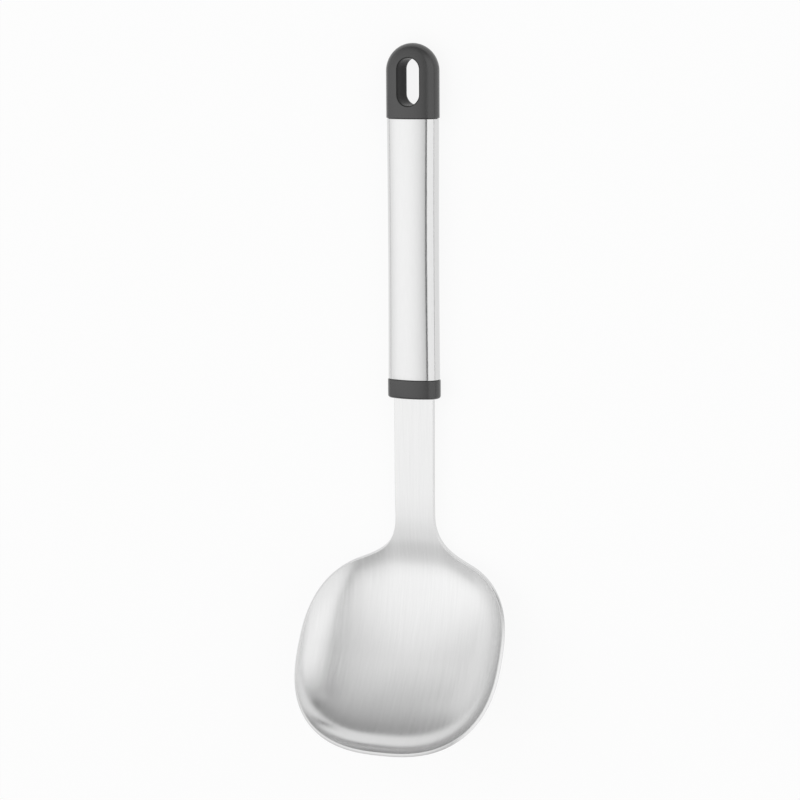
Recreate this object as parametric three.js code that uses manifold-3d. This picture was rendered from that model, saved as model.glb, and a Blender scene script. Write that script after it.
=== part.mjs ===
// A serving spoon for rice: a stamped steel blade clamped in an oval tube handle.
// Millimetres, +Z up. The spoon lies on its back on a table, with the bowl open upwards.
// +Y runs along the handle from the bowl to the cap, and +X is to the right of it.
// While the pieces are made, Y is measured from the mouth of the ferrule and Z from the handle's axis.
import * as THREE from 'three';
import { mergeVertices } from 'three/addons/utils/BufferGeometryUtils.js';
import Module from 'manifold-3d';

const wasm = await Module();
wasm.setup();

// Handle section: an oval of four arcs, with a flatter front and back. Its side radius stays below a
// share of its half thickness. The plastic ends stand a little proud of the tube, at the sides and faces.
const TUBE_WIDTH = 24.8;
const TUBE_THICKNESS = 13.7;
const TUBE_WAIST = 0.25;
const CAP_OVERHANG = 0.25;
const FERRULE_OVERHANG = 0.3;
const FACE_OVERHANG = 0.15;
const TUBE_WALL = 0.6;
const SIDE_RADIUS = 5.5;
const ROUNDEST_SIDE = 0.9;

// Lengths along the handle.
const FERRULE_LENGTH = 8.7;
const TUBE_LENGTH = 120.2;
const CAP_LENGTH = 34.1;
const FERRULE_SPIGOT = 12;
const CAP_SPIGOT = 14;
const SPIGOT_WALL = 1.8;
const FERRULE_EDGE = 1.2;
const CAP_EDGE = 0.4;
const TUBE_EDGE = 0.25;

// Hanging slot in the cap.
const SLOT_WIDTH = 10.6;
const SLOT_LENGTH = 21.7;
const SLOT_END_WALL = 6.7;
const SLOT_FLOOR = 2.5;

// Neck and tang, both of the same flat sheet.
const NECK_WIDTH = 19.5;
const NECK_WIDTH_AT_FLARE = 19.1;
const NECK_THICKNESS = 2.5;
const NECK_SEAT = 3;
const TANG_WIDTH = 14;
const TANG_LENGTH = 56;
const TANG_END_RADIUS = 3;

// Core that clamps the tang, with pegs through the tang's holes.
const CORE_END_WALL = 4;
const PEG_DIAMETER = 4;
const PEG_SPACING = 18;
const PEG_REACH = 3.2;

// Bowl. Its rim lies in a plane tilted up from the handle, which it meets HEEL_DISTANCE before the mouth.
const HEEL_DISTANCE = 76.7;
const RIM_TILT = THREE.MathUtils.degToRad(30.1);
const RIM_CENTRE = 45.1;
const BOWL_WIDTH = 101.2;
const BOWL_LENGTH = 99.2;
const RIM_EXPONENT = 2.5;
const BOWL_DEPTH = 15.8;
const DISH_EXPONENT = 2.1;
const LIP_EXPONENT = 11;
const LIP_SHARE = 0.29;
const BOWL_SHEET = 1.6;
const SHEET_TAPER = 30;

// Flare where the neck's edges sweep out into the rim, and the bends of the neck and heel below it. Places
// are measured along the rim plane from where it meets the handle's middle plane.
const NECK_BEND_START = -28;
const NECK_BEND = 0.0055;
const FLARE_START = -19;
const FLARE_END_ANGLE = THREE.MathUtils.degToRad(29);
const FLARE_NECK_PULL = 10.7;
const FLARE_RIM_PULL = 11.7;
const HEEL_BLEND = 8;
const HEEL_START = -10;
const HEEL_UPTURN = 0.03;

// Clearances.
const FIT = 0.2;

// Fineness of the facets.
const SIDE_STEPS = 10;
const CROWN_STEPS = 8;
const TUBE_STEPS = 8;
const EDGE_STEPS = 3;
const ARCH_STEPS = 48;
const SLOT_STEPS = 12;
const PEG_STEPS = 20;
const ACROSS_STEPS = 18;
const NECK_STEPS = 3;
const FLARE_STEPS = 8;
const RIM_STEPS = 26;
const TIP_ANGLE = 0.05;
const MERGE_DISTANCE = 1e-4;
const SLOPE_STEP = 0.01;
const TANGENT_STEP = 0.001;

// Places along the handle and sizes that several pieces share.
const capWidth = TUBE_WIDTH + 2 * CAP_OVERHANG;
const ferruleWidth = TUBE_WIDTH + 2 * FERRULE_OVERHANG;
const handleThickness = TUBE_THICKNESS + 2 * FACE_OVERHANG;
const tubeStart = FERRULE_LENGTH;
const capStart = tubeStart + TUBE_LENGTH;
const capEnd = capStart + CAP_LENGTH;
const slotEnd = capEnd - SLOT_END_WALL;
const slotStart = slotEnd - SLOT_LENGTH;
const coreStart = FERRULE_LENGTH + FERRULE_SPIGOT + FIT;
const coreEnd = TANG_LENGTH + FIT + CORE_END_WALL;
const coreMiddle = (coreStart + TANG_LENGTH) / 2;
const pegPlaces = [coreMiddle - PEG_SPACING / 2, coreMiddle + PEG_SPACING / 2];

// Booleans between closed meshes.
function toSolid(geometry) {
  const bare = geometry.clone();
  bare.deleteAttribute('normal');
  bare.deleteAttribute('uv');
  const merged = mergeVertices(bare, MERGE_DISTANCE);
  const vertProperties = new Float32Array(merged.attributes.position.array);
  const triVerts = new Uint32Array(merged.index.array);
  return new wasm.Manifold(new wasm.Mesh({ numProp: 3, vertProperties, triVerts }));
}

function toGeometry(solid) {
  const { vertProperties, triVerts } = solid.getMesh();
  const geometry = new THREE.BufferGeometry();
  geometry.setAttribute('position', new THREE.BufferAttribute(vertProperties, 3));
  geometry.setIndex(new THREE.BufferAttribute(triVerts, 1));
  return geometry;
}

// One ring of the handle's oval at y, drawn in by inset all round, as points in order.
function ovalRing(y, width, thickness, inset) {
  const halfWidth = width / 2 - inset;
  const halfThickness = thickness / 2 - inset;
  const side = Math.min(SIDE_RADIUS - inset, ROUNDEST_SIDE * halfThickness);
  const sideCentre = halfWidth - side;
  const crown = (sideCentre ** 2 + halfThickness ** 2 - side ** 2) / (2 * (halfThickness - side));
  const crownCentre = halfThickness - crown;
  const turn = Math.asin(sideCentre / (crown - side));
  const right = Math.PI / 2 - turn;
  const arcs = [
    [sideCentre, 0, side, -right, right, SIDE_STEPS],
    [0, crownCentre, crown, right, Math.PI - right, CROWN_STEPS],
    [-sideCentre, 0, side, Math.PI - right, Math.PI + right, SIDE_STEPS],
    [0, -crownCentre, crown, Math.PI + right, 2 * Math.PI - right, CROWN_STEPS],
  ];
  return arcs.flatMap(([x, z, radius, from, to, steps]) => Array.from({ length: steps }, (_, i) => {
    const angle = from + (to - from) * i / steps;
    return new THREE.Vector3(x + radius * Math.cos(angle), y, z + radius * Math.sin(angle));
  }));
}

// A closed solid through rings of equal length that follow each other along +Y. With looped, the last
// ring joins the first one again and there are no end faces.
function stackRings(rings, looped = false) {
  const count = rings[0].length;
  const index = [];
  const bands = looped ? rings.length : rings.length - 1;
  for (let band = 0; band < bands; band++) {
    const low = band * count;
    const high = ((band + 1) % rings.length) * count;
    for (let i = 0; i < count; i++) {
      const next = (i + 1) % count;
      index.push(low + i, high + i, high + next, low + i, high + next, low + next);
    }
  }
  if (!looped) {
    const top = (rings.length - 1) * count;
    for (let i = 1; i < count - 1; i++) {
      index.push(0, i, i + 1, top, top + i + 1, top + i);
    }
  }
  const geometry = new THREE.BufferGeometry().setFromPoints(rings.flat());
  geometry.setIndex(index);
  return geometry;
}

// Rings that round the first edge of an oval solid from y on.
function roundedStart(y, width, thickness, radius) {
  return Array.from({ length: EDGE_STEPS + 1 }, (_, i) => {
    const angle = (Math.PI / 2) * i / EDGE_STEPS;
    return ovalRing(y + radius * (1 - Math.cos(angle)), width, thickness, radius * (1 - Math.sin(angle)));
  });
}

// A block between two corners.
function block(low, high) {
  const size = new THREE.Vector3().subVectors(high, low);
  const centre = new THREE.Vector3().addVectors(low, high).multiplyScalar(0.5);
  return new THREE.BoxGeometry(size.x, size.y, size.z).translate(centre.x, centre.y, centre.z);
}

// A round pin along Z at the given y.
function pin(y, diameter, low, high) {
  const geometry = new THREE.CylinderGeometry(diameter / 2, diameter / 2, high - low, PEG_STEPS);
  return geometry.rotateX(Math.PI / 2).translate(0, y, (low + high) / 2);
}

// A solid between two sheets of points, given as rows from the handle to the tip.
function sheetSolid(upper, lower) {
  const rows = upper.length;
  const columns = upper[0].length;
  const lowerStart = rows * columns;
  const index = [];
  const quad = (a, b, c, d) => index.push(a, b, c, a, c, d);
  const up = (row, column) => row * columns + column;
  const down = (row, column) => lowerStart + row * columns + column;
  for (let row = 0; row < rows - 1; row++) {
    for (let i = 0; i < columns - 1; i++) {
      quad(up(row, i), up(row + 1, i), up(row + 1, i + 1), up(row, i + 1));
      quad(down(row, i), down(row, i + 1), down(row + 1, i + 1), down(row + 1, i));
    }
    quad(up(row, 0), down(row, 0), down(row + 1, 0), up(row + 1, 0));
    const last = columns - 1;
    quad(up(row, last), up(row + 1, last), down(row + 1, last), down(row, last));
  }
  for (let i = 0; i < columns - 1; i++) {
    quad(up(0, i), up(0, i + 1), down(0, i + 1), down(0, i));
    const end = rows - 1;
    quad(up(end, i), down(end, i), down(end, i + 1), up(end, i + 1));
  }
  const geometry = new THREE.BufferGeometry().setFromPoints([...upper.flat(), ...lower.flat()]);
  geometry.setIndex(index);
  return geometry;
}

// Rim frame: across is X, along runs in the rim plane from the heel to the tip, rise is square to it.
function fromRim(across, along, rise) {
  const y = -HEEL_DISTANCE - along * Math.cos(RIM_TILT) + rise * Math.sin(RIM_TILT);
  const z = along * Math.sin(RIM_TILT) + rise * Math.cos(RIM_TILT);
  return new THREE.Vector3(across, y, z);
}

// The rim's superellipse. Angle 0 is at the heel, a quarter turn at the widest place, a half at the tip.
function rimPoint(angle) {
  const power = 2 / RIM_EXPONENT;
  const cosine = Math.cos(angle);
  const across = (BOWL_WIDTH / 2) * Math.sin(angle) ** power;
  const along = RIM_CENTRE - Math.sign(cosine) * (BOWL_LENGTH / 2) * Math.abs(cosine) ** power;
  return new THREE.Vector2(across, along);
}

// Height of the blade's underside over the rim plane: the lower of the bowl and the neck's sheet, with a
// round bend between them. The bowl is a shallow dish whose lip is steeper. The neck is flat, then droops
// towards the bowl. Beyond the neck's edges and past the heel its sheet turns up, out of the bowl's way.
function underside(across, along) {
  const acrossShare = (Math.abs(across) / (BOWL_WIDTH / 2)) ** RIM_EXPONENT;
  const alongShare = (Math.abs(along - RIM_CENTRE) / (BOWL_LENGTH / 2)) ** RIM_EXPONENT;
  const reach = (acrossShare + alongShare) ** (1 / RIM_EXPONENT);
  const dish = (1 - LIP_SHARE) * reach ** DISH_EXPONENT + LIP_SHARE * reach ** LIP_EXPONENT;
  const bowl = BOWL_DEPTH * (dish - 1);
  const flat = (-NECK_THICKNESS / 2 - along * Math.sin(RIM_TILT)) / Math.cos(RIM_TILT);
  const droop = NECK_BEND * Math.max(0, along - NECK_BEND_START) ** 2;
  const beside = Math.max(0, Math.abs(across) - NECK_WIDTH_AT_FLARE / 2);
  const past = Math.max(0, along - HEEL_START);
  const neck = flat - droop + HEEL_UPTURN * (beside ** 2 + past ** 2);
  const near = Math.max(0, HEEL_BLEND - Math.abs(bowl - neck));
  return Math.min(bowl, neck) - near ** 2 / (4 * HEEL_BLEND);
}

// Thickness of the sheet, from the neck's to the bowl's over the taper.
function sheetThickness(along) {
  const share = THREE.MathUtils.smoothstep(along, FLARE_START, FLARE_START + SHEET_TAPER);
  return THREE.MathUtils.lerp(NECK_THICKNESS, BOWL_SHEET, share);
}

// The pair of points above and below the sheet at one place in the rim frame.
function sheetPair(across, along) {
  const step = SLOPE_STEP;
  const slopeAcross = (underside(across + step, along) - underside(across - step, along)) / (2 * step);
  const slopeAlong = (underside(across, along + step) - underside(across, along - step)) / (2 * step);
  const normal = new THREE.Vector3(-slopeAcross, -slopeAlong, 1).setLength(sheetThickness(along));
  const rise = underside(across, along);
  return {
    upper: fromRim(across + normal.x, along + normal.y, rise + normal.z),
    lower: fromRim(across, along, rise),
  };
}

// The place along the rim frame where the flat neck's underside has the given y.
function alongNeck(y) {
  const under = (NECK_THICKNESS / 2) * Math.tan(RIM_TILT);
  return -(y + HEEL_DISTANCE + under) * Math.cos(RIM_TILT);
}

// The neck's half width, which tapers evenly from the seat in the ferrule to the flare.
function neckStation(along) {
  const share = THREE.MathUtils.inverseLerp(alongNeck(NECK_SEAT), FLARE_START, along);
  return new THREE.Vector2(THREE.MathUtils.lerp(NECK_WIDTH, NECK_WIDTH_AT_FLARE, share) / 2, along);
}

// Half width and place along the rim frame of each of the blade's rows: the straight neck, the flare as
// one cubic curve from the neck's edge to the rim, and the rim's superellipse to the tip.
function bladeStations() {
  const neck = Array.from({ length: NECK_STEPS }, (_, i) => (
    neckStation(THREE.MathUtils.lerp(NECK_BEND_START, FLARE_START, i / NECK_STEPS))
  ));
  const join = rimPoint(FLARE_END_ANGLE);
  const ahead = rimPoint(FLARE_END_ANGLE + TANGENT_STEP).sub(join).normalize();
  const neckEdge = neckStation(FLARE_START);
  const flare = new THREE.CubicBezierCurve(
    neckEdge,
    new THREE.Vector2(neckEdge.x, neckEdge.y + FLARE_NECK_PULL),
    join.clone().addScaledVector(ahead, -FLARE_RIM_PULL),
    join,
  );
  const rim = Array.from({ length: RIM_STEPS }, (_, i) => {
    const share = (i + 1) / RIM_STEPS;
    return rimPoint(THREE.MathUtils.lerp(FLARE_END_ANGLE, Math.PI - TIP_ANGLE, share));
  });
  return [neckStation(alongNeck(NECK_SEAT)), ...neck, ...flare.getPoints(FLARE_STEPS), ...rim];
}

// Places across a row, as shares of its half width.
function acrossShares() {
  return Array.from({ length: ACROSS_STEPS + 1 }, (_, i) => Math.sin(Math.PI * (i / ACROSS_STEPS - 0.5)));
}

function spoonBlade() {
  const shares = acrossShares();
  const rows = bladeStations().map(({ x: halfWidth, y: along }) => (
    shares.map((share) => sheetPair(share * halfWidth, along))
  ));
  const upper = rows.map((row) => row.map((pair) => pair.upper));
  const lower = rows.map((row) => row.map((pair) => pair.lower));
  return toGeometry(toSolid(sheetSolid(upper, lower)).add(toSolid(tang())));
}

// The tang: a strip narrower than the neck, round at the end, with a hole for each peg.
function tang() {
  const half = TANG_WIDTH / 2;
  const aside = half - TANG_END_RADIUS;
  const roundStart = TANG_LENGTH - TANG_END_RADIUS;
  const outline = new THREE.Shape();
  outline.moveTo(-half, 0);
  outline.lineTo(half, 0);
  outline.lineTo(half, roundStart);
  outline.absarc(aside, roundStart, TANG_END_RADIUS, 0, Math.PI / 2);
  outline.absarc(-aside, roundStart, TANG_END_RADIUS, Math.PI / 2, Math.PI);
  for (const place of pegPlaces) {
    outline.holes.push(new THREE.Path().absarc(0, place, PEG_DIAMETER / 2 + FIT, 0, 2 * Math.PI));
  }
  const options = { depth: NECK_THICKNESS, bevelEnabled: false, curveSegments: PEG_STEPS / 4 };
  return new THREE.ExtrudeGeometry(outline, options).translate(0, 0, -NECK_THICKNESS / 2);
}

// A spigot's inset from the tube's outside.
const spigotInset = TUBE_WALL + FIT;

function frontFerrule() {
  const body = stackRings([
    ...roundedStart(0, ferruleWidth, handleThickness, FERRULE_EDGE),
    ovalRing(tubeStart - FIT / 2, ferruleWidth, handleThickness, 0),
    ovalRing(tubeStart - FIT / 2, TUBE_WIDTH, TUBE_THICKNESS, spigotInset),
    ovalRing(tubeStart + FERRULE_SPIGOT, TUBE_WIDTH, TUBE_THICKNESS, spigotInset),
  ]);
  const sheetGap = NECK_THICKNESS / 2 + FIT;
  const neckGap = NECK_WIDTH / 2 + FIT;
  const tangGap = TANG_WIDTH / 2 + FIT;
  const neckPocket = block(
    new THREE.Vector3(-neckGap, -FIT, -sheetGap),
    new THREE.Vector3(neckGap, NECK_SEAT + FIT, sheetGap),
  );
  const tangSlot = block(
    new THREE.Vector3(-tangGap, 0, -sheetGap),
    new THREE.Vector3(tangGap, coreStart, sheetGap),
  );
  return toGeometry(toSolid(body).subtract(toSolid(neckPocket).add(toSolid(tangSlot))));
}

function handleTube() {
  const ringAt = (share, inset) => {
    const y = tubeStart + FIT / 2 + (TUBE_LENGTH - FIT) * share;
    const waist = TUBE_WAIST * Math.sin(Math.PI * share);
    return ovalRing(y, TUBE_WIDTH - 2 * waist, TUBE_THICKNESS, inset);
  };
  const edge = TUBE_EDGE / TUBE_LENGTH;
  const shares = [edge, ...Array.from({ length: TUBE_STEPS - 1 }, (_, i) => (i + 1) / TUBE_STEPS), 1 - edge];
  const outside = [ringAt(0, TUBE_EDGE), ...shares.map((share) => ringAt(share, 0)), ringAt(1, TUBE_EDGE)];
  const inside = [0, ...shares, 1].map((share) => ringAt(share, TUBE_WALL)).reverse();
  return stackRings([...outside, ...inside], true);
}

// Outside of the whole core, straight enough to slide through the tube's waist.
function coreBody() {
  const width = TUBE_WIDTH - 2 * TUBE_WAIST;
  return toSolid(stackRings([
    ovalRing(coreStart, width, TUBE_THICKNESS, spigotInset),
    ovalRing(coreEnd, width, TUBE_THICKNESS, spigotInset),
  ]));
}

// The room that the tang and the gap between the halves take out of the core.
function tangRoom() {
  const half = TANG_WIDTH / 2 + FIT;
  const deep = NECK_THICKNESS / 2 + FIT;
  const room = block(
    new THREE.Vector3(-half, coreStart - FIT, -deep),
    new THREE.Vector3(half, TANG_LENGTH + FIT, deep),
  );
  const split = block(
    new THREE.Vector3(-TUBE_WIDTH, coreStart - FIT, -FIT / 2),
    new THREE.Vector3(TUBE_WIDTH, coreEnd + FIT, FIT / 2),
  );
  return toSolid(room).add(toSolid(split));
}

// The half space on one side of the handle's middle plane, over the core's length.
function halfSpace(side) {
  const low = Math.min(0, side * handleThickness);
  const high = Math.max(0, side * handleThickness);
  return toSolid(block(
    new THREE.Vector3(-TUBE_WIDTH, coreStart - FIT, low),
    new THREE.Vector3(TUBE_WIDTH, coreEnd + FIT, high),
  ));
}

function tangCoreFront() {
  let half = coreBody().intersect(halfSpace(1)).subtract(tangRoom());
  const root = NECK_THICKNESS / 2 + FIT + PEG_DIAMETER / 4;
  for (const place of pegPlaces) {
    half = half.add(toSolid(pin(place, PEG_DIAMETER, -PEG_REACH, root)));
  }
  return toGeometry(half);
}

function tangCoreBack() {
  let half = coreBody().intersect(halfSpace(-1)).subtract(tangRoom());
  for (const place of pegPlaces) {
    half = half.subtract(toSolid(pin(place, PEG_DIAMETER + 2 * FIT, -PEG_REACH - FIT, 0)));
  }
  return toGeometry(half);
}

// The cap's arched end: the half section turned round the centre of the arch.
function capArch(centre) {
  const profile = ovalRing(0, capWidth, handleThickness, 0)
    .filter((point) => point.x > MERGE_DISTANCE)
    .map((point) => new THREE.Vector2(point.x, point.z))
    .sort((first, second) => first.y - second.y);
  const bottom = new THREE.Vector2(0, -handleThickness / 2);
  const top = new THREE.Vector2(0, handleThickness / 2);
  const arch = new THREE.LatheGeometry([bottom, ...profile, top], ARCH_STEPS);
  return arch.rotateX(Math.PI / 2).translate(0, centre, 0);
}

// The hanging slot as a tall block with round ends.
function hangingSlot() {
  const radius = SLOT_WIDTH / 2;
  const outline = new THREE.Shape();
  outline.absarc(0, slotEnd - radius, radius, 0, Math.PI);
  outline.absarc(0, slotStart + radius, radius, Math.PI, 2 * Math.PI);
  const options = { depth: 2 * handleThickness, bevelEnabled: false, curveSegments: SLOT_STEPS / 2 };
  return new THREE.ExtrudeGeometry(outline, options).translate(0, 0, -handleThickness);
}

function endCap() {
  const archCentre = capEnd - capWidth / 2;
  const seat = capStart + FIT / 2;
  const spigotEnd = capStart - CAP_SPIGOT;
  const body = stackRings([
    ovalRing(spigotEnd, TUBE_WIDTH, TUBE_THICKNESS, spigotInset),
    ovalRing(seat, TUBE_WIDTH, TUBE_THICKNESS, spigotInset),
    ...roundedStart(seat, capWidth, handleThickness, CAP_EDGE),
    ovalRing(archCentre, capWidth, handleThickness, 0),
  ]);
  const cavityEnd = slotStart - SLOT_FLOOR;
  const cavityInset = spigotInset + SPIGOT_WALL;
  const cavity = stackRings([
    ovalRing(spigotEnd - FIT, TUBE_WIDTH, TUBE_THICKNESS, cavityInset),
    ovalRing(cavityEnd, TUBE_WIDTH, TUBE_THICKNESS, cavityInset),
  ]);
  const outside = toSolid(body).add(toSolid(capArch(archCentre)));
  return toGeometry(outside.subtract(toSolid(hangingSlot())).subtract(toSolid(cavity)));
}

// Materials.
const satinSteel = { color: 0xd6d7d8, roughness: 0.32, metalness: 1 };
const brightSteel = { color: 0xdcdddd, roughness: 0.22, metalness: 1 };
const blackPlastic = { color: 0x2e2e2f, roughness: 0.5, metalness: 0 };
const corePlastic = { color: 0x8c8d8a, roughness: 0.6, metalness: 0 };

const spoon = new THREE.Group();

function addPiece(name, geometry, look) {
  const mesh = new THREE.Mesh(geometry, new THREE.MeshStandardMaterial(look));
  mesh.name = name;
  spoon.add(mesh);
}

addPiece('spoon_blade', spoonBlade(), satinSteel);
addPiece('front_ferrule', frontFerrule(), blackPlastic);
addPiece('tang_core_front', tangCoreFront(), corePlastic);
addPiece('tang_core_back', tangCoreBack(), corePlastic);
addPiece('handle_tube', handleTube(), brightSteel);
addPiece('end_cap', endCap(), blackPlastic);

// The spoon is set down with its lowest place at Z 0 and the middle of its length at Y 0.
const bounds = new THREE.Box3().setFromObject(spoon);
spoon.position.set(0, -(bounds.min.y + bounds.max.y) / 2, -bounds.min.z);

export default spoon;
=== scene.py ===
"""A serving spoon for rice, lying on its back on a pale studio floor.

The blade, the tube, the ferrule and the end cap are worked out as grids of points from the sizes of the
solids, with round edges and a softer bend at the heel. The two halves of the core, which are hidden in the
tube, stay as they are. Metres, +Z up, +Y from the bowl to the cap.
"""
import math

import bmesh
import bpy
import numpy as np
from mathutils import Matrix, Vector


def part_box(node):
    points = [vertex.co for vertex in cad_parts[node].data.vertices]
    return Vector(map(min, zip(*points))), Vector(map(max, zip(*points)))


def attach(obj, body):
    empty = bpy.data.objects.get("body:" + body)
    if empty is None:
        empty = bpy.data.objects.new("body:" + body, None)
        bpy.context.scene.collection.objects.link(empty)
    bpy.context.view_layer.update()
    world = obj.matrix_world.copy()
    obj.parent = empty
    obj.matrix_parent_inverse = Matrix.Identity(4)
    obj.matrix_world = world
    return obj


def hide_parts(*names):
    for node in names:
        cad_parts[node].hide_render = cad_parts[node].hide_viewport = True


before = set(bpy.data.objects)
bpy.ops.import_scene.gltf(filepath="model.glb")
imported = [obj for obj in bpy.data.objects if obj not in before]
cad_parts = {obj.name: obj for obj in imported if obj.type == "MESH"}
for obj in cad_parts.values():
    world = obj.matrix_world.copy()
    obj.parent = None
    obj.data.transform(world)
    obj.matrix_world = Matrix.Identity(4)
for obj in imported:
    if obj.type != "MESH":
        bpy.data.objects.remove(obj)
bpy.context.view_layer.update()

# Sizes of the blade: a flat neck and tang, and a bowl whose rim lies in a tilted plane.
HEEL_DISTANCE = 0.0767
RIM_TILT = math.radians(30.1)
RIM_CENTRE = 0.0451
BOWL_WIDTH = 0.1012
BOWL_LENGTH = 0.0992
RIM_EXPONENT = 2.5
BOWL_DEPTH = 0.0158
DISH_EXPONENT = 2.1
LIP_EXPONENT = 11.0
LIP_SHARE = 0.29
BOWL_SHEET = 0.0016
SHEET_TAPER = 0.030
BLADE_EDGE = 0.0003
NECK_WIDTH = 0.0195
NECK_WIDTH_AT_FLARE = 0.0191
NECK_THICKNESS = 0.0025
NECK_SEAT = 0.003
SHOULDER_SLOPE = 0.0005
TANG_WIDTH = 0.014
TANG_LENGTH = 0.056
TANG_END_RADIUS = 0.003

# Bends of the neck and the heel, per metre where a bend is a rate, and the flare of the neck's edges.
NECK_BEND_START = -0.028
NECK_BEND = 5.5
FLARE_START = -0.019
FLARE_END_ANGLE = math.radians(29)
FLARE_NECK_PULL = 0.0107
FLARE_RIM_PULL = 0.0117
HEEL_BLEND = 0.012
HEEL_START = -0.010
HEEL_UPTURN = 30

# Sizes of the handle that its pieces' boxes don't give.
SIDE_RADIUS = 0.0055
TUBE_WAIST = 0.00025
TUBE_WALL = 0.0006
TUBE_EDGE = 0.00025
FERRULE_EDGE = 0.0012
HEAD_EDGE = 0.00015
CAP_EDGE = 0.0004
SPIGOT_WALL = 0.0018
SLOT_WIDTH = 0.0106
SLOT_LENGTH = 0.0217
SLOT_END_WALL = 0.0067
SLOT_FLOOR = 0.0025
SLOT_EDGE = 0.0003
PEG_HOLE = 0.0044
PEG_SPACING = 0.018
FIT = 0.0002

# Fineness of the grids.
SHEET_ROWS = 58
EDGE_STEPS = 5
TANG_STEPS = 8
NECK_STEPS = 24
RIM_STEPS = 250
SIDE_POINTS = 26
CROWN_POINTS = 40
TUBE_STATIONS = 60
TUBE_INNER_STATIONS = 15
CAP_ARCH_STEPS = 48
CAP_SIDE_STEPS = 20
CAP_END_STEPS = 24
CAP_ROWS = 30
SLOT_WALL_STEPS = 6
HOLE_POINTS = 32
CURVE_SAMPLES = 4000
FAN_POWER = 1.4
RIM_PROBE = 1e-3
SLOPE_STEP = 1e-5
MERGE_DISTANCE = 1e-7
SMOOTH_ANGLE = math.radians(35)

# Places along the handle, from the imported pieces.
ferrule_low, ferrule_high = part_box("front_ferrule")
tube_low, tube_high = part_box("handle_tube")
cap_low, cap_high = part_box("end_cap")
core_low, core_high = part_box("tang_core_front")
mouth_y = ferrule_low.y
axis_z = (cap_low.z + cap_high.z) / 2
half_handle = (cap_high.z - cap_low.z) / 2
half_tube = (tube_high.z - tube_low.z) / 2
spigot_inset = TUBE_WALL + FIT
seat_y = tube_high.y + FIT
slot_high = cap_high.y - SLOT_END_WALL
slot_low = slot_high - SLOT_LENGTH


def smooth_step(share):
    """Three squares less two cubes of the share, kept between 0 and 1."""
    kept = np.clip(share, 0, 1)
    return kept * kept * (3 - 2 * kept)


def piece_from(name, points, faces):
    """A new object from points and faces. Points that coincide are merged, which closes seams and poles."""
    mesh = bpy.data.meshes.new(name)
    mesh.from_pydata(points.reshape(-1, 3).tolist(), [], faces)
    shape = bmesh.new()
    shape.from_mesh(mesh)
    bmesh.ops.remove_doubles(shape, verts=shape.verts, dist=MERGE_DISTANCE)
    bmesh.ops.recalc_face_normals(shape, faces=shape.faces)
    shape.to_mesh(mesh)
    shape.free()
    piece = bpy.data.objects.new(name, mesh)
    bpy.context.scene.collection.objects.link(piece)
    return piece


def loft(name, rings, looped=False, filled=True):
    """A surface through rings[i, j], point j of ring i, where each ring closes on itself.

    Looped, the last ring joins the first one again. Otherwise the two end rings are filled with flat
    faces, unless they fold onto themselves and so need no filling.
    """
    ring_count, count = rings.shape[:2]
    band = np.arange(ring_count if looped else ring_count - 1)[:, None]
    place = np.arange(count)[None, :]
    low = band * count
    high = (band + 1) % ring_count * count
    beside = (place + 1) % count
    corners = (low + place, low + beside, high + beside, high + place)
    faces = np.stack(corners, -1).reshape(-1, 4).tolist()
    if filled and not looped:
        last = (ring_count - 1) * count
        faces.append(list(range(count)))
        faces.append(list(range(last, last + count)))
    return piece_from(name, rings, faces)


def combine(piece, tool, operation):
    """The closed shape tool is joined to the piece or cut from it, and then removed."""
    change = piece.modifiers.new("change", "BOOLEAN")
    change.operation = operation
    change.object = tool
    change.solver = "EXACT"
    depsgraph = bpy.context.evaluated_depsgraph_get()
    result = bpy.data.meshes.new_from_object(piece.evaluated_get(depsgraph))
    piece.modifiers.clear()
    before = piece.data
    piece.data = result
    bpy.data.meshes.remove(before)
    bpy.data.meshes.remove(tool.data)


def block(name, low, high):
    """A block between two corners, as a loft of two rectangles."""
    across = np.array([low[0], high[0], high[0], low[0]])
    rise = np.array([low[2], low[2], high[2], high[2]])
    rings = [np.stack([across, np.full(4, y), rise], -1) for y in (low[1], high[1])]
    return loft(name, np.stack(rings))


def finish_piece(piece, nodes, material):
    """Shade the piece smooth up to sharp edges, give it its finish and fix it to the spoon's body."""
    piece.data.shade_smooth()
    piece.data.set_sharp_from_angle(angle=SMOOTH_ANGLE)
    piece.data.materials.clear()
    piece.data.materials.append(material)
    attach(piece, "root")
    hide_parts(*nodes)


# Blade

def underside(across, along):
    """Height of the blade's underside over the rim plane.

    The bowl is a shallow dish with a steeper lip: two powers of the superellipse's own measure, which is 0
    at the centre and 1 at the rim. The neck is a level sheet in the handle's frame that droops with the
    square of the distance past its bend, and turns up beside its edges and past the heel. The result is the
    lower of the two, less a cubic blend that rounds the bend where they come within HEEL_BLEND of each
    other.
    """
    across_share = (np.abs(across) / (BOWL_WIDTH / 2)) ** RIM_EXPONENT
    along_share = (np.abs(along - RIM_CENTRE) / (BOWL_LENGTH / 2)) ** RIM_EXPONENT
    measure = (across_share + along_share) ** (1 / RIM_EXPONENT)
    dish = (1 - LIP_SHARE) * measure ** DISH_EXPONENT + LIP_SHARE * measure ** LIP_EXPONENT
    bowl = BOWL_DEPTH * (dish - 1)
    level = (-NECK_THICKNESS / 2 - along * math.sin(RIM_TILT)) / math.cos(RIM_TILT)
    droop = NECK_BEND * np.maximum(0, along - NECK_BEND_START) ** 2
    beside = np.maximum(0, np.abs(across) - NECK_WIDTH_AT_FLARE / 2)
    past = np.maximum(0, along - HEEL_START)
    neck = level - droop + HEEL_UPTURN * (beside ** 2 + past ** 2)
    near = np.maximum(0, HEEL_BLEND - np.abs(bowl - neck))
    return np.minimum(bowl, neck) - near ** 3 / (6 * HEEL_BLEND ** 2)


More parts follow.
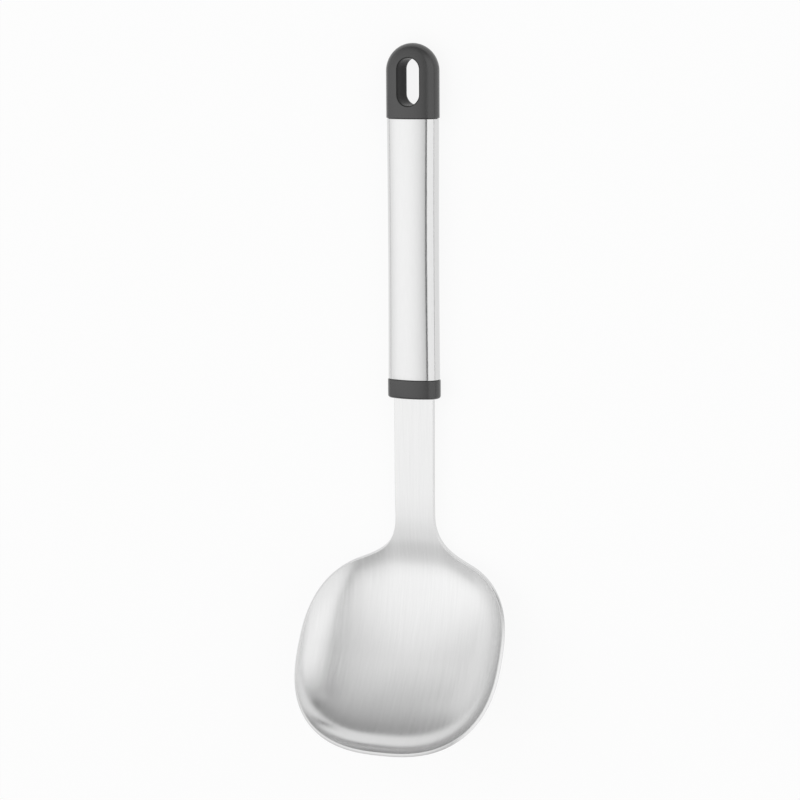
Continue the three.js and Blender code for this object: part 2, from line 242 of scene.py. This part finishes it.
def sheet_thickness(along):
    """Thickness of the sheet, which eases from the neck's to the bowl's over the taper."""
    share = smooth_step((along - FLARE_START) / SHEET_TAPER)
    return NECK_THICKNESS + (BOWL_SHEET - NECK_THICKNESS) * share


def sheet_points(across, along):
    """Points of the underside in the rim frame, and the sheet's unit normals there, by central slopes."""
    step = SLOPE_STEP
    slope_across = (underside(across + step, along) - underside(across - step, along)) / (2 * step)
    slope_along = (underside(across, along + step) - underside(across, along - step)) / (2 * step)
    normals = np.stack([-slope_across, -slope_along, np.ones_like(slope_across)], -1)
    normals /= np.linalg.norm(normals, axis=-1, keepdims=True)
    return np.stack([across, along, underside(across, along)], -1), normals


def along_neck(y):
    """Place along the rim frame where the level neck's underside is y past the ferrule's mouth."""
    under = (NECK_THICKNESS / 2) * math.tan(RIM_TILT)
    return -(y + HEEL_DISTANCE + under) * math.cos(RIM_TILT)


def rim_curve(angle):
    """The rim's superellipse: angle 0 at the heel, a quarter turn at the widest place, a half at the tip."""
    power = 2 / RIM_EXPONENT
    across = (BOWL_WIDTH / 2) * np.abs(np.sin(angle)) ** power
    along = RIM_CENTRE - np.sign(np.cos(angle)) * (BOWL_LENGTH / 2) * np.abs(np.cos(angle)) ** power
    return np.stack([across, along], -1)


def tang_outline():
    """Right edge of the tang from its end's middle to the shoulder: a flat, a quarter circle, a side."""
    corner = TANG_WIDTH / 2 - TANG_END_RADIUS
    flat = np.linspace(0, corner, TANG_STEPS, endpoint=False)
    turn = np.linspace(math.pi / 2, 0, TANG_STEPS)
    round_y = TANG_LENGTH - TANG_END_RADIUS
    side = np.linspace(round_y, NECK_SEAT, TANG_STEPS)[1:]
    round_across = corner + TANG_END_RADIUS * np.cos(turn)
    across = np.concatenate([flat, round_across, np.full(side.size, TANG_WIDTH / 2)])
    y = np.concatenate([np.full(flat.size, TANG_LENGTH), round_y + TANG_END_RADIUS * np.sin(turn), side])
    return np.stack([across, along_neck(y)], -1)


def neck_outline():
    """Right edge from the shoulder to the flare: the shoulder's slope, then an even taper."""
    start = along_neck(NECK_SEAT - SHOULDER_SLOPE)
    along = np.linspace(start, FLARE_START, NECK_STEPS)
    share = (along - along_neck(NECK_SEAT)) / (FLARE_START - along_neck(NECK_SEAT))
    across = (NECK_WIDTH + (NECK_WIDTH_AT_FLARE - NECK_WIDTH) * share) / 2
    return np.stack([across, along], -1)


def bowl_outline():
    """Right edge from the flare to the tip in even steps, and each point's share of the way to the widest.

    The flare is a cubic curve from the neck's edge, along which it leaves, to the rim's superellipse.
    """
    share = np.linspace(0, 1, CURVE_SAMPLES)[:, None]
    neck_edge = np.array([NECK_WIDTH_AT_FLARE / 2, FLARE_START])
    join = rim_curve(FLARE_END_ANGLE)
    ahead = rim_curve(FLARE_END_ANGLE + RIM_PROBE) - join
    ahead /= np.linalg.norm(ahead)
    pulls = (neck_edge + [0, FLARE_NECK_PULL], join - FLARE_RIM_PULL * ahead)
    flare = (1 - share) ** 3 * neck_edge + 3 * (1 - share) ** 2 * share * pulls[0]
    flare = flare + 3 * (1 - share) * share ** 2 * pulls[1] + share ** 3 * join
    rim = rim_curve(np.linspace(FLARE_END_ANGLE, math.pi, CURVE_SAMPLES)[1:])
    edge = np.concatenate([flare, rim])
    way = np.concatenate([[0], np.cumsum(np.linalg.norm(np.diff(edge, axis=0), axis=1))])
    steps = np.linspace(0, way[-1], RIM_STEPS + 1)[1:]
    points = np.stack([np.interp(steps, way, edge[:, axis]) for axis in (0, 1)], -1)
    points[-1, 0] = 0
    return points, np.minimum(1, steps / way[np.argmax(edge[:, 0])])


def along_edge(points):
    """Unit tangents along the right edge. Past its ends the edge goes on as its own mirror image."""
    mirror = np.ones(points.shape[1])
    mirror[0] = -1
    whole = np.concatenate([points[1:2] * mirror, points, points[-2:-1] * mirror])
    tangents = whole[2:] - whole[:-2]
    return tangents / np.linalg.norm(tangents, axis=1, keepdims=True)


def rim_to_row(points):
    """From the rim frame, which is across, along and rise, to the row frame."""
    across, along, rise = np.moveaxis(points, -1, 0)
    y = mouth_y - HEEL_DISTANCE - along * math.cos(RIM_TILT) + rise * math.sin(RIM_TILT)
    z = axis_z + along * math.sin(RIM_TILT) + rise * math.cos(RIM_TILT)
    return np.stack([across, y, z], -1)


def make_blade(material):
    """The blade and its tang as one closed sheet.

    Every column runs from a middle line out to the right edge on the upper side, round the edge, and back
    on the underside. The edge is drawn in by its own radius and turned by two quarter circles. In the neck
    the columns lie square to the middle line, and in the bowl and the tang's end they fan out from a point.
    The left half is the mirror image.
    """
    bowl_edge, way = bowl_outline()
    strip = np.concatenate([tang_outline(), neck_outline()])
    edge = np.concatenate([strip, bowl_edge])
    fan = FLARE_START + (RIM_CENTRE - FLARE_START) * (1 - (1 - way) ** FAN_POWER)
    tang_fan = along_neck(TANG_LENGTH - TANG_END_RADIUS)
    middle = np.concatenate([np.maximum(strip[:, 1], tang_fan), fan])
    tangents = along_edge(edge)
    inner = edge - BLADE_EDGE * np.stack([tangents[:, 1], -tangents[:, 0]], -1)

    share = np.sin(np.linspace(0, math.pi / 2, SHEET_ROWS))[:, None]
    across = share * inner[:, 0]
    along = middle + share * (inner[:, 1] - middle)
    lower, normals = sheet_points(across, along)
    thickness = sheet_thickness(along)[..., None]
    upper = lower + thickness * normals

    outward = np.cross(along_edge(lower[-1]), normals[-1])
    turn = np.linspace(math.pi / 2, 0, EDGE_STEPS + 1)[1:, None, None]
    crest = lower[-1] + (thickness[-1] - BLADE_EDGE) * normals[-1]
    foot = lower[-1] + BLADE_EDGE * normals[-1]
    reach = BLADE_EDGE * np.cos(turn) * outward
    rise = BLADE_EDGE * np.sin(turn) * normals[-1]
    right = np.concatenate([upper, crest + reach + rise, (foot + reach - rise)[::-1], lower[::-1]])
    left = right[-2:0:-1] * [-1, 1, 1]
    rings = rim_to_row(np.concatenate([right, left])).swapaxes(0, 1)
    blade = loft("blade_and_tang", rings, filled=False)

    middle_y = (core_low.y + mouth_y + TANG_LENGTH) / 2
    for side in (-1, 1):
        combine(blade, peg_hole(middle_y + side * PEG_SPACING / 2), "DIFFERENCE")
    finish_piece(blade, ["spoon_blade"], material)


def peg_hole(y):
    """A round pin along Z, through the tang at y."""
    angle = np.linspace(0, 2 * math.pi, HOLE_POINTS, endpoint=False)
    rings = []
    for z in (axis_z - NECK_THICKNESS, axis_z + NECK_THICKNESS):
        x = PEG_HOLE / 2 * np.cos(angle)
        rings.append(np.stack([x, y + PEG_HOLE / 2 * np.sin(angle), np.full(HOLE_POINTS, z)], -1))
    return loft("peg_hole", np.stack(rings))


# Handle

def oval_arcs(half_width, half_thickness):
    """The handle's oval: two round sides and two flatter crowns, tangent to each other.

    Gives the distance of a side's centre, the crown's radius, the height of its centre, and the angle from
    the crown's middle at which the arcs meet.
    """
    side_centre = half_width - SIDE_RADIUS
    spare = half_thickness ** 2 - SIDE_RADIUS ** 2
    crown = (side_centre ** 2 + spare) / (2 * (half_thickness - SIDE_RADIUS))
    turn = np.arcsin(side_centre / (crown - SIDE_RADIUS))
    return side_centre, crown, half_thickness - crown, turn


def oval_rings(y, half_width, half_thickness, inset):
    """Rings of the handle's oval at each y, drawn in by inset. The four arcs keep their centres."""
    stations = np.broadcast_arrays(y, half_width, inset)
    y, half_width, inset = (np.asarray(values, float)[:, None] for values in stations)
    side_centre, crown, crown_centre, turn = oval_arcs(half_width, half_thickness)
    x_parts = []
    z_parts = []
    for quarter in range(4):
        facing = quarter * math.pi / 2
        on_side = quarter % 2 == 0
        count = SIDE_POINTS if on_side else CROWN_POINTS
        share = np.arange(count) / count
        angle = facing + (2 * share - 1) * (math.pi / 2 - turn if on_side else turn)
        radius = (SIDE_RADIUS if on_side else crown) - inset
        away = side_centre if on_side else crown_centre
        x_parts.append(away * round(math.cos(facing)) + radius * np.cos(angle))
        z_parts.append(away * round(math.sin(facing)) + radius * np.sin(angle))
    x = np.concatenate(x_parts, 1)
    z = axis_z + np.concatenate(z_parts, 1)
    return np.stack([x, np.broadcast_to(y, x.shape), z], -1)


def lip(radius):
    """Distance from the end and inset of each ring of an edge rounded by a quarter circle."""
    turn = np.linspace(0, math.pi / 2, EDGE_STEPS + 1)
    return radius * (1 - np.cos(turn)), radius * (1 - np.sin(turn))


def make_tube(material):
    """The tube's wall: ovals carried along it outside and back inside, with round lips at both ends.

    The half width loses half a sine wave over the length, which gives the tube its slight waist.
    """
    length = tube_high.y - tube_low.y
    away, lip_inset = lip(TUBE_EDGE)
    straight = np.linspace(TUBE_EDGE, length - TUBE_EDGE, TUBE_STATIONS)[1:-1]
    back = np.linspace(length, 0, TUBE_INNER_STATIONS)
    along = np.concatenate([away, straight, length - away[::-1], back])
    back_inset = np.full(back.size, TUBE_WALL)
    inset = np.concatenate([lip_inset, np.zeros(straight.size), lip_inset[::-1], back_inset])
    half_width = (tube_high.x - tube_low.x) / 2 - TUBE_WAIST * np.sin(math.pi * along / length)
    rings = oval_rings(tube_low.y + along, half_width, half_tube, inset)
    tube = loft("tube_wall", rings, looped=True)
    finish_piece(tube, ["handle_tube"], material)


def make_ferrule(material):
    """The ferrule: an oval head with a round mouth and a spigot for the tube, slotted for neck and tang."""
    away, mouth_inset = lip(FERRULE_EDGE)
    head_away, head_inset = lip(HEAD_EDGE)
    head_end = tube_low.y - FIT
    y = np.concatenate([mouth_y + away, head_end - head_away[::-1]])
    inset = np.concatenate([mouth_inset, head_inset[::-1]])
    head = oval_rings(y, (ferrule_high.x - ferrule_low.x) / 2, half_handle, inset)
    half_width = (tube_high.x - tube_low.x) / 2
    spigot = oval_rings([head_end, ferrule_high.y], half_width, half_tube, spigot_inset)
    ferrule = loft("ferrule_with_mouth", np.concatenate([head, spigot]))
    gap = NECK_THICKNESS / 2 + FIT
    neck_slot = (NECK_WIDTH / 2 + FIT, NECK_SEAT + FIT)
    tang_slot = (TANG_WIDTH / 2 + FIT, core_low.y - mouth_y)
    for half, end in (neck_slot, tang_slot):
        low = (-half, mouth_y - FIT, axis_z - gap)
        high = (half, mouth_y + end, axis_z + gap)
        combine(ferrule, block("sheet_slot", low, high), "DIFFERENCE")
    finish_piece(ferrule, ["front_ferrule"], material)


def cap_edges():
    """Right half of the cap's outline from the top down to the joint, and of the slot's edge beside it.

    The outline is a quarter circle, a straight side, a small corner and the joint's straight edge. Each of
    its points has a partner on the slot: at the same angle on the upper end, at the same share of the
    straight side, and in the same direction from the centre of the lower end.
    """
    half = (cap_high.x - cap_low.x) / 2
    radius = SLOT_WIDTH / 2
    arch_y = cap_high.y - half
    upper_y = slot_high - radius
    lower_y = slot_low + radius
    turn = np.linspace(math.pi / 2, 0, CAP_ARCH_STEPS, endpoint=False)
    side = np.linspace(arch_y, lower_y, CAP_SIDE_STEPS, endpoint=False)
    low_side = np.linspace(lower_y, seat_y + CAP_EDGE, CAP_SIDE_STEPS, endpoint=False)
    corner = np.linspace(0, math.pi / 2, EDGE_STEPS, endpoint=False)
    joint = np.linspace(half - CAP_EDGE, 0, CAP_END_STEPS)
    arch = np.stack([half * np.cos(turn), arch_y + half * np.sin(turn)], -1)
    straight = np.stack([np.full(side.size, half), side], -1)
    corner_x = half - CAP_EDGE * (1 - np.cos(corner))
    corner_y = seat_y + CAP_EDGE * (1 - np.sin(corner))
    below_x = np.concatenate([np.full(low_side.size, half), corner_x, joint])
    below_y = np.concatenate([low_side, corner_y, np.full(joint.size, seat_y)])
    below = np.stack([below_x, below_y], -1)

    upper_away = np.stack([np.cos(turn), np.sin(turn)], -1)
    straight_away = np.stack([np.ones(side.size), np.zeros(side.size)], -1)
    below_away = below - [0, lower_y]
    below_away = below_away / np.linalg.norm(below_away, axis=1, keepdims=True)
    share = (side - lower_y) / (arch_y - lower_y)
    straight_middle = np.stack([np.zeros(side.size), lower_y + share * (upper_y - lower_y)], -1)
    away = np.concatenate([upper_away, straight_away, below_away])
    middle = np.concatenate([
        np.tile([0, upper_y], (turn.size, 1)),
        straight_middle,
        np.tile([0, lower_y], (below.shape[0], 1)),
    ])
    return np.concatenate([arch, straight, below]), middle + radius * away, away


def cap_height(x, y):
    """Half thickness of the cap over a place: the oval's own height at the distance from its middle line.

    The middle line ends in the centre of the arch, round which the section turns. Near the joint the oval
    is drawn in by the quarter circle of the cap's lower edge.
    """
    half = (cap_high.x - cap_low.x) / 2
    side_centre, crown, crown_centre, turn = oval_arcs(half, half_handle)
    distance = np.hypot(x, np.maximum(0, y - (cap_high.y - half)))
    drop = np.clip((seat_y + CAP_EDGE - y) / CAP_EDGE, 0, 1)
    inset = CAP_EDGE * (1 - np.sqrt(1 - drop ** 2))
    on_crown = np.sqrt(np.maximum(0, (crown - inset) ** 2 - distance ** 2)) + crown_centre
    beyond = np.maximum(0, distance - side_centre)
    on_side = np.sqrt(np.maximum(0, (SIDE_RADIUS - inset) ** 2 - beyond ** 2))
    return np.where(distance < (crown - inset) * np.sin(turn), on_crown, on_side)


def make_cap(material):
    """The end cap: closed profiles carried round the slot.

    Each profile goes from the slot's front edge over the front to the outline, down the joint's face, and
    over the back into the slot again. The slot's edges drop by a quarter circle below the face. A spigot
    for the tube is joined on, and its cavity is cut out.
    """
    outline, slot, away = cap_edges()
    start = slot + SLOT_EDGE * away
    turn = np.linspace(math.pi / 2, 0, EDGE_STEPS + 1)[:, None, None]
    rounded = slot + SLOT_EDGE * (1 - np.sin(turn)) * away
    rounded_drop = SLOT_EDGE * (1 - np.cos(turn[..., 0]))
    share = np.sin(np.linspace(0, math.pi / 2, CAP_ROWS))[1:, None, None]
    face = np.concatenate([rounded, start + share * (outline - start)])
    height = cap_height(face[..., 0], face[..., 1])
    height[: EDGE_STEPS + 1] -= rounded_drop
    level = np.linspace(1, -1, SLOT_WALL_STEPS + 1)[1:-1, None]
    outlines = np.broadcast_to(outline, (level.size, *outline.shape))
    joint = np.concatenate([outlines, (level * height[-1])[..., None]], -1)
    slots = np.broadcast_to(slot, (level.size, *slot.shape))
    wall = np.concatenate([slots, (-level * height[0])[..., None]], -1)
    front = np.concatenate([face, height[..., None]], -1)
    back = front[::-1] * [1, 1, -1]
    right = np.concatenate([front, joint, back, wall])
    left = right[:, -2:0:-1] * [-1, 1, 1]
    rings = np.concatenate([right, left], 1).swapaxes(0, 1) + [0, 0, axis_z]
    cap = loft("cap_with_slot", rings, looped=True)

    half_width = (tube_high.x - tube_low.x) / 2
    spigot_y = [cap_low.y, seat_y + SLOT_FLOOR / 2]
    spigot = loft("cap_spigot", oval_rings(spigot_y, half_width, half_tube, spigot_inset))
    combine(cap, spigot, "UNION")
    cavity_y = [cap_low.y - FIT, slot_low - SLOT_FLOOR]
    cavity = loft("cap_cavity", oval_rings(cavity_y, half_width, half_tube, spigot_inset + SPIGOT_WALL))
    combine(cap, cavity, "DIFFERENCE")
    finish_piece(cap, ["end_cap"], material)


# Finishes: noises as detail and roughness, shades as shares of a grey, reliefs as strength and depth.
NOISE_MIDDLE = 0.5
NOISE_SPREAD = 0.2
BRUSH_AXIS = (0, 1, 0)
STEEL_NOISE = (5, 0.6)
STEEL_SHADES = (0.96, 1.02)
STEEL_ROUGHNESS_STEP = 0.03
STEEL_RELIEF = (0.15, 4e-6)
PLASTIC_NOISE = (3, 0.5)
PLASTIC_SHADES = (0.9, 1.1)
PLASTIC_ROUGHNESS_STEP = 0.04
PLASTIC_RELIEF = (0.25, 1.5e-5)
BLACK_GLOSS = 0.78
FLOOR_GREY = 0.9
FLOOR_ROUGHNESS = 0.9
FLOOR_GLOW = 0.88

# Painted shade in the hanging slot: gloss of the black plastic from the slot's wall out to the cap's face,
# over a short way, near none on the wall and none on the slot's rounded front edge, which leaves both
# darker.
SLOT_SHADE_FADE = 0.0006
SLOT_SHADE_STOPS = ((0.04, 0.02), (0.1, 0), (0.6, 0), (0.9, BLACK_GLOSS))


def new_finish(name):
    """A node material, with its tree and its Principled shader."""
    material = bpy.data.materials.new(name)
    material.use_nodes = True
    tree = material.node_tree
    shader = tree.nodes["Principled BSDF"]
    return material, tree, shader


def noise_on(tree, scale, detail, roughness):
    """A noise texture on Object coordinates, with its own scale along each axis."""
    place = tree.nodes.new("ShaderNodeTexCoord")
    stretch = tree.nodes.new("ShaderNodeMapping")
    stretch.inputs["Scale"].default_value = scale
    noise = tree.nodes.new("ShaderNodeTexNoise")
    noise.inputs["Scale"].default_value = 1
    noise.inputs["Detail"].default_value = detail
    noise.inputs["Roughness"].default_value = roughness
    tree.links.new(place.outputs["Object"], stretch.inputs["Vector"])
    tree.links.new(stretch.outputs["Vector"], noise.inputs["Vector"])
    return noise.outputs["Fac"]


def ranged(tree, value, low, high):
    """A noise value, which keeps near its middle, spread out between low and high."""
    node = tree.nodes.new("ShaderNodeMapRange")
    node.inputs["From Min"].default_value = NOISE_MIDDLE - NOISE_SPREAD
    node.inputs["From Max"].default_value = NOISE_MIDDLE + NOISE_SPREAD
    node.inputs["To Min"].default_value = low
    node.inputs["To Max"].default_value = high
    tree.links.new(value, node.inputs["Value"])
    return node.outputs["Result"]


def shaded(tree, value, dark, light):
    """Grey between two levels, from a value between 0 and 1."""
    ramp = tree.nodes.new("ShaderNodeValToRGB")
    ramp.color_ramp.elements[0].color = (dark, dark, dark, 1)
    ramp.color_ramp.elements[1].color = (light, light, light, 1)
    tree.links.new(value, ramp.inputs["Fac"])
    return ramp.outputs["Color"]


def falloff(tree, share, stops):
    """A grey that eases from level to level, each of which is at most 1 and stands at its own share."""
    node = tree.nodes.new("ShaderNodeValToRGB")
    ramp = node.color_ramp
    ramp.interpolation = "B_SPLINE"
    while len(ramp.elements) < len(stops):
        ramp.elements.new(1)
    for element, (place, level) in zip(ramp.elements, stops):
        element.position = place
        element.color = (level, level, level, 1)
    tree.links.new(share, node.inputs["Fac"])
    return node.outputs["Color"]


def bumped(tree, shader, height, strength, distance):
    """A fine relief of the given depth."""
    bump = tree.nodes.new("ShaderNodeBump")
    bump.inputs["Strength"].default_value = strength
    bump.inputs["Distance"].default_value = distance
    tree.links.new(height, bump.inputs["Height"])
    tree.links.new(bump.outputs["Normal"], shader.inputs["Normal"])


def vector_step(tree, value, operation, other=(0, 0, 0)):
    """One step of vector arithmetic, with a fixed second vector where the operation takes one."""
    node = tree.nodes.new("ShaderNodeVectorMath")
    node.operation = operation
    node.inputs[1].default_value = other
    tree.links.new(value, node.inputs[0])
    return node.outputs["Vector"]


def grained(tree, shader, fine, grey, shades, roughness, step, relief):
    """Carries a fine noise into the shader's grey, its roughness and its relief."""
    shade = shaded(tree, ranged(tree, fine, 0, 1), grey * shades[0], grey * shades[1])
    tree.links.new(shade, shader.inputs["Base Color"])
    tree.links.new(ranged(tree, fine, roughness - step, roughness + step), shader.inputs["Roughness"])
    bumped(tree, shader, fine, *relief)


def brushed_steel(name, grey, roughness, spread, scale):
    """Stainless steel brushed along Y: fine streaks in its grey, its gloss and its relief.

    Its reflections spread more round the Y axis, across the brush marks, than along them.
    """
    material, tree, shader = new_finish(name)
    fine = noise_on(tree, scale, *STEEL_NOISE)
    grained(tree, shader, fine, grey, STEEL_SHADES, roughness, STEEL_ROUGHNESS_STEP, STEEL_RELIEF)
    shader.inputs["Metallic"].default_value = 1
    shader.inputs["Anisotropic"].default_value = spread
    facing = tree.nodes.new("ShaderNodeNewGeometry").outputs["Normal"]
    across = vector_step(tree, facing, "CROSS_PRODUCT", BRUSH_AXIS)
    tree.links.new(across, shader.inputs["Tangent"])
    return material


def moulded_plastic(name, grey, roughness, gloss, grain):
    """Moulded plastic with a fine even grain in its grey, its gloss and its relief."""
    material, tree, shader = new_finish(name)
    fine = noise_on(tree, (grain, grain, grain), *PLASTIC_NOISE)
    grained(tree, shader, fine, grey, PLASTIC_SHADES, roughness, PLASTIC_ROUGHNESS_STEP, PLASTIC_RELIEF)
    shader.inputs["Specular IOR Level"].default_value = gloss
    return material


def paint_slot_shade(material):
    """Paints shade into the hanging slot: takes the gloss off its wall and its rounded front edge, by the
    distance from the slot's middle line, so that they stand darker.
    """
    tree = material.node_tree
    shader = tree.nodes["Principled BSDF"]
    half_line = (SLOT_LENGTH - SLOT_WIDTH) / 2
    place = tree.nodes.new("ShaderNodeTexCoord").outputs["Object"]
    flat = vector_step(tree, place, "MULTIPLY", (1, 1, 0))
    offset = vector_step(tree, flat, "SUBTRACT", (0, (slot_low + slot_high) / 2, 0))
    mirrored = vector_step(tree, offset, "ABSOLUTE")
    beyond = vector_step(tree, mirrored, "SUBTRACT", (0, half_line, 0))
    nearest = vector_step(tree, beyond, "MAXIMUM")
    distance = tree.nodes.new("ShaderNodeVectorMath")
    distance.operation = "LENGTH"
    tree.links.new(nearest, distance.inputs[0])
    share = tree.nodes.new("ShaderNodeMapRange")
    share.inputs["From Min"].default_value = SLOT_WIDTH / 2
    share.inputs["From Max"].default_value = SLOT_WIDTH / 2 + SLOT_SHADE_FADE
    tree.links.new(distance.outputs["Value"], share.inputs["Value"])
    slot_shade = falloff(tree, share.outputs["Result"], SLOT_SHADE_STOPS)
    tree.links.new(slot_shade, shader.inputs["Specular IOR Level"])


def floor_finish():
    """A pale floor that the camera and reflections see as near white, and that still takes a soft shadow."""
    material, tree, shader = new_finish("studio_floor")
    shader.inputs["Base Color"].default_value = (FLOOR_GREY, FLOOR_GREY, FLOOR_GREY, 1)
    shader.inputs["Roughness"].default_value = FLOOR_ROUGHNESS
    shader.inputs["Specular IOR Level"].default_value = 0
    glow = tree.nodes.new("ShaderNodeEmission")
    path = tree.nodes.new("ShaderNodeLightPath")
    seen = path.outputs["Is Camera Ray"]
    for kind in ("Is Glossy Ray", "Is Transmission Ray"):
        either = tree.nodes.new("ShaderNodeMath")
        either.operation = "MAXIMUM"
        tree.links.new(seen, either.inputs[0])
        tree.links.new(path.outputs[kind], either.inputs[1])
        seen = either.outputs["Value"]
    part = tree.nodes.new("ShaderNodeMath")
    part.operation = "MULTIPLY"
    part.inputs[1].default_value = FLOOR_GLOW
    tree.links.new(seen, part.inputs[0])
    mix = tree.nodes.new("ShaderNodeMixShader")
    tree.links.new(part.outputs["Value"], mix.inputs["Fac"])
    tree.links.new(shader.outputs["BSDF"], mix.inputs[1])
    tree.links.new(glow.outputs["Emission"], mix.inputs[2])
    tree.links.new(mix.outputs["Shader"], tree.nodes["Material Output"].inputs["Surface"])
    return material


# Studio
FLOOR_HALF = 6.0
WORLD_LEVEL = 0.15
CAMERA_TURN = math.radians(21)
CAMERA_LIFT = math.radians(8.5)
CAMERA_ROLL = math.radians(-0.35)
CAMERA_DISTANCE = 1.2
CAMERA_LENS = 116.4
AIM_BEFORE_MOUTH = 0.00115
AIM_ASIDE = -0.0067


def make_floor():
    """A level square, the surface that the spoon lies on."""
    half = FLOOR_HALF
    points = np.array([(-half, -half, 0), (half, -half, 0), (half, half, 0), (-half, half, 0)])
    floor = piece_from("studio_floor", points, [(0, 1, 2, 3)])
    floor.data.materials.append(floor_finish())


def make_softbox(name, level, corner, across, along, across_stops, along_stops):
    """A soft panel spanned from a corner by two sides at right angles.

    It shines to the side from which across turns clockwise into along. Its power at level 1 is pi times its
    area, and two falloffs, one along each side, grade it.
    """
    corner, across, along = Vector(corner), Vector(across), Vector(along)
    light = bpy.data.lights.new(name, "AREA")
    light.shape = "RECTANGLE"
    light.size = across.length
    light.size_y = along.length
    light.energy = level * math.pi * light.size * light.size_y
    light.use_nodes = True
    tree = light.node_tree
    place = tree.nodes.new("ShaderNodeNewGeometry")
    sides = tree.nodes.new("ShaderNodeSeparateXYZ")
    tree.links.new(place.outputs["Parametric"], sides.inputs["Vector"])
    dimmed = tree.nodes.new("ShaderNodeMath")
    dimmed.operation = "MULTIPLY"
    tree.links.new(falloff(tree, sides.outputs["X"], across_stops), dimmed.inputs[0])
    tree.links.new(falloff(tree, sides.outputs["Y"], along_stops), dimmed.inputs[1])
    tree.links.new(dimmed.outputs["Value"], tree.nodes["Emission"].inputs["Strength"])
    panel = bpy.data.objects.new(name, light)
    turned = Matrix((across.normalized(), along.normalized(), across.cross(along).normalized()))
    middle = corner + (across + along) / 2
    panel.matrix_world = Matrix.Translation(middle) @ turned.transposed().to_4x4()
    panel.visible_camera = False
    bpy.context.scene.collection.objects.link(panel)


def make_lights():
    """Soft graded panels overhead, beyond the cap, on the left and on the right, in a soft grey studio."""
    make_softbox(
        "ceiling_panel",
        level=1.16,
        corner=(-2.4, -2.6, 1.25),
        across=(2.84, 0, 0),
        along=(0, 5.0, 0),
        across_stops=((0, 0.85), (0.25, 0.98), (0.45, 1), (0.67, 1), (0.8, 0.92), (0.9, 0.8), (1, 0.55)),
        along_stops=(
            (0, 0.46), (0.28, 0.55), (0.36, 0.67), (0.42, 0.84),
            (0.54, 1), (0.68, 0.78), (0.82, 0.61), (1, 0.42),
        ),
    )
    make_softbox(
        "far_panel",
        level=0.8,
        corner=(-2.4, 2.4, 0),
        across=(0, 0, 1.25),
        along=(3.4, 0, 0),
        across_stops=((0, 0.23), (0.5, 0.55), (1, 1)),
        along_stops=((0, 1), (0.4, 0.78), (1, 0.4)),
    )
    make_softbox(
        "left_panel",
        level=1.0,
        corner=(-2.4, -2.0, 0.05),
        across=(0, 0, 1.2),
        along=(0, 4.4, 0),
        across_stops=((0, 0.6), (0.5, 0.85), (1, 0.95)),
        along_stops=((0, 0.8), (0.4, 1), (0.7, 1), (1, 0.8)),
    )
    make_softbox(
        "right_panel",
        level=1.14,
        corner=(0.56, -2.6, 1.25),
        across=(1.04, 0, -1.15),
        along=(0, 5.0, 0),
        across_stops=((0, 1), (1, 0.93)),
        along_stops=((0, 0.6), (0.35, 0.84), (0.5, 0.84), (0.65, 1), (0.76, 0.68), (0.86, 0.42), (1, 0.22)),
    )
    world = bpy.data.worlds.new("studio")
    world.use_nodes = True
    background = world.node_tree.nodes["Background"]
    background.inputs["Color"].default_value = (1, 1, 1, 1)
    background.inputs["Strength"].default_value = WORLD_LEVEL
    bpy.context.scene.world = world


def make_camera():
    """The camera stands above the handle's mouth, turned to the right of it and lifted towards the cap."""
    back = Vector((
        math.sin(CAMERA_TURN) * math.cos(CAMERA_LIFT),
        math.sin(CAMERA_LIFT),
        math.cos(CAMERA_TURN) * math.cos(CAMERA_LIFT),
    ))
    level = Vector((math.cos(CAMERA_TURN), 0, -math.sin(CAMERA_TURN)))
    upward = back.cross(level)
    right = level * math.cos(CAMERA_ROLL) + upward * math.sin(CAMERA_ROLL)
    up = upward * math.cos(CAMERA_ROLL) - level * math.sin(CAMERA_ROLL)
    aim = Vector((0, mouth_y - AIM_BEFORE_MOUTH, axis_z)) + AIM_ASIDE * right
    lens = bpy.data.cameras.new("camera")
    lens.lens = CAMERA_LENS
    camera = bpy.data.objects.new("camera", lens)
    turned = Matrix((right, up, back)).transposed().to_4x4()
    camera.matrix_world = Matrix.Translation(aim + CAMERA_DISTANCE * back) @ turned
    bpy.context.scene.collection.objects.link(camera)
    bpy.context.scene.camera = camera


# The spoon in its studio.
black_plastic = moulded_plastic("black_plastic", grey=0.03, roughness=0.22, gloss=BLACK_GLOSS, grain=4000)
# Painted shade in the cap's slot: its wall and front edge lose their gloss and stand darker.
paint_slot_shade(black_plastic)
core_plastic = moulded_plastic("core_plastic", grey=0.28, roughness=0.55, gloss=0.5, grain=2500)
blade_steel = brushed_steel("blade_steel", grey=0.75, roughness=0.23, spread=0.6, scale=(1500, 50, 50))
tube_steel = brushed_steel("tube_steel", grey=0.72, roughness=0.1, spread=0.3, scale=(7000, 200, 7000))
make_blade(blade_steel)
make_tube(tube_steel)
make_ferrule(black_plastic)
make_cap(black_plastic)
for core_half in ("tang_core_front", "tang_core_back"):
    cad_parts[core_half].data.materials.clear()
    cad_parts[core_half].data.materials.append(core_plastic)

make_floor()
make_lights()
make_camera()
bpy.context.scene.view_settings.view_transform = "Standard"
